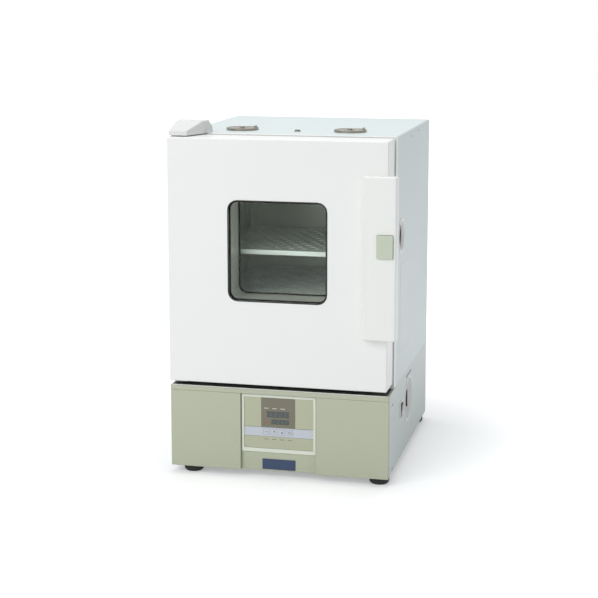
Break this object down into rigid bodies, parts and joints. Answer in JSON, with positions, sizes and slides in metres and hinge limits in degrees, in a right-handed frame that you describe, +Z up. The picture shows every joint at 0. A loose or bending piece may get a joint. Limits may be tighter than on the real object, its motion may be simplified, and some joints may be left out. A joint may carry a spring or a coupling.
{
  "type": "drying oven",
  "caption": "Bench-top laboratory drying oven: insulated cabinet with a hinged glazed door, perforated shelves, roof vents and a control base.",
  "frame": {"origin": "on the floor under the middle of the bounding box", "axes": "+X to the right of the door, +Y to the back, +Z up"},
  "size_m": [0.437, 0.5206, 0.672],
  "materials": {
    "painted_white": "semi-gloss baked enamel",
    "painted_side": "semi-gloss baked enamel",
    "painted_khaki": "fine satin baked enamel",
    "zinc_sheet": "plain zinc-plated sheet",
    "stainless": "bright rolled stainless sheet",
    "stainless_vent": "pressed stainless steel",
    "heater_steel": "dull heat-tinted steel",
    "bezel_plastic": "moulded cream plastic",
    "overlay_film": "printed film in khaki, brown and pale lavender",
    "key_film": "pale lavender-grey keys",
    "display": "dark display blocks",
    "board": "green circuit board",
    "black_plastic": "moulded black plastic",
    "grey_plastic": "moulded pale plastic",
    "white_plastic": "moulded white plastic",
    "button_plastic": "moulded grey-green plastic",
    "black_rubber": "black rubber",
    "grey_rubber": "grey-brown silicone rubber",
    "gasket_rubber": "dark silicone rubber",
    "wool": "mineral wool",
    "glass": "clear float glass",
    "brass": "sintered bronze",
    "magnet": "black magnet"
  },
  "bodies": {
    "cabinet": {"feet": "black_rubber", "base_tray": "zinc_sheet", "base_casing": "painted_side", "base_top_rail": "painted_khaki", "base_front_left": "painted_khaki", "base_front_right": "painted_khaki", "control_column": "painted_khaki", "controller_housing": "bezel_plastic", "control_overlay": "overlay_film", "displays": "display", "control_board": "board", "relay": "black_plastic", "terminal_block": "grey_plastic", "power_inlet": "black_plastic", "switch_frame": "white_plastic", "dial_dish": "white_plastic", "overheat_thermostat": "grey_plastic", "cabinet_floor": "zinc_sheet", "front_frame": "painted_white", "outer_shell": "painted_side", "back_panel": "painted_side", "chamber_liner": "stainless", "chamber_ceiling": "stainless", "insulation": "wool", "heaters": "heater_steel", "floor_plate": "stainless", "shelf_rails": "stainless", "shelf_clips": "stainless", "temperature_probe": "stainless", "thermometer_sleeve": "stainless_vent", "thermometer_plug": "grey_rubber", "port_sleeve": "white_plastic", "port_plug": "black_rubber", "vent_collar_left": "stainless_vent", "vent_collar_right": "stainless_vent", "door_gasket": "gasket_rubber", "hinge_bracket_top": "zinc_sheet", "hinge_bracket_bottom": "zinc_sheet", "hinge_cover": "white_plastic"},
    "door": {"door_shell": "painted_white", "door_liner": "stainless", "door_insulation": "wool", "window_tunnel": "stainless", "outer_pane": "glass", "inner_pane": "glass", "pane_seals": "black_rubber", "handle": "white_plastic", "magnet_catch": "magnet", "hinge_bushes": "brass"},
    "latch_button": {"latch_button": "button_plastic"},
    "shelf_upper": {"shelf_upper": "stainless"},
    "shelf_lower": {"shelf_lower": "stainless"},
    "switch_rocker": {"switch_rocker": "black_plastic"},
    "overheat_dial": {"overheat_dial": "black_plastic"},
    "vent_damper_left": {"vent_damper_left": "stainless_vent"},
    "vent_damper_right": {"vent_damper_right": "stainless_vent"},
    "key_mode": {"key_mode": "key_film"},
    "key_down": {"key_down": "key_film"},
    "key_up": {"key_up": "key_film"},
    "key_set": {"key_set": "key_film"}
  },
  "joints": [
    {"name": "door_hinge", "type": "hinge", "parent": "cabinet", "child": "door", "pos_m": [-0.2045, -0.21175, 0.1845], "axis": [0, 0, -1], "range_deg": [0, 120]},
    {"name": "latch_push", "type": "slide", "parent": "door", "child": "latch_button", "axis": [0, 1, 0], "range_m": [0, 0.004], "stiffness_N_per_m": 800, "springref_m": -0.001},
    {"name": "switch_tilt", "type": "hinge", "parent": "cabinet", "child": "switch_rocker", "pos_m": [0.1998, -0.07875, 0.1105], "axis": [0, -1, 0], "range_deg": [0, 18]},
    {"name": "overheat_turn", "type": "hinge", "parent": "cabinet", "child": "overheat_dial", "pos_m": [0.2015, 0.01525, 0.109], "axis": [1, 0, 0], "range_deg": [-135, 135]},
    {"name": "vent_turn_left", "type": "hinge", "parent": "cabinet", "child": "vent_damper_left", "pos_m": [-0.1145, -0.07175, 0.6493], "axis": [0, 0, 1], "range_deg": [0, 90]},
    {"name": "vent_turn_right", "type": "hinge", "parent": "cabinet", "child": "vent_damper_right", "pos_m": [0.0975, -0.07175, 0.6493], "axis": [0, 0, 1], "range_deg": [0, 90]},
    {"name": "key_mode_push", "type": "slide", "parent": "cabinet", "child": "key_mode", "axis": [0, 1, 0], "range_m": [0, 0.001], "stiffness_N_per_m": 400, "springref_m": -0.0005},
    {"name": "key_down_push", "type": "slide", "parent": "cabinet", "child": "key_down", "axis": [0, 1, 0], "range_m": [0, 0.001], "stiffness_N_per_m": 400, "springref_m": -0.0005},
    {"name": "key_up_push", "type": "slide", "parent": "cabinet", "child": "key_up", "axis": [0, 1, 0], "range_m": [0, 0.001], "stiffness_N_per_m": 400, "springref_m": -0.0005},
    {"name": "key_set_push", "type": "slide", "parent": "cabinet", "child": "key_set", "axis": [0, 1, 0], "range_m": [0, 0.001], "stiffness_N_per_m": 400, "springref_m": -0.0005},
    {"name": "shelf_slide_upper", "type": "slide", "parent": "cabinet", "child": "shelf_upper", "axis": [0, -1, 0], "range_m": [0, 0.01]},
    {"name": "shelf_slide_lower", "type": "slide", "parent": "cabinet", "child": "shelf_lower", "axis": [0, -1, 0], "range_m": [0, 0.01]}
  ]
}
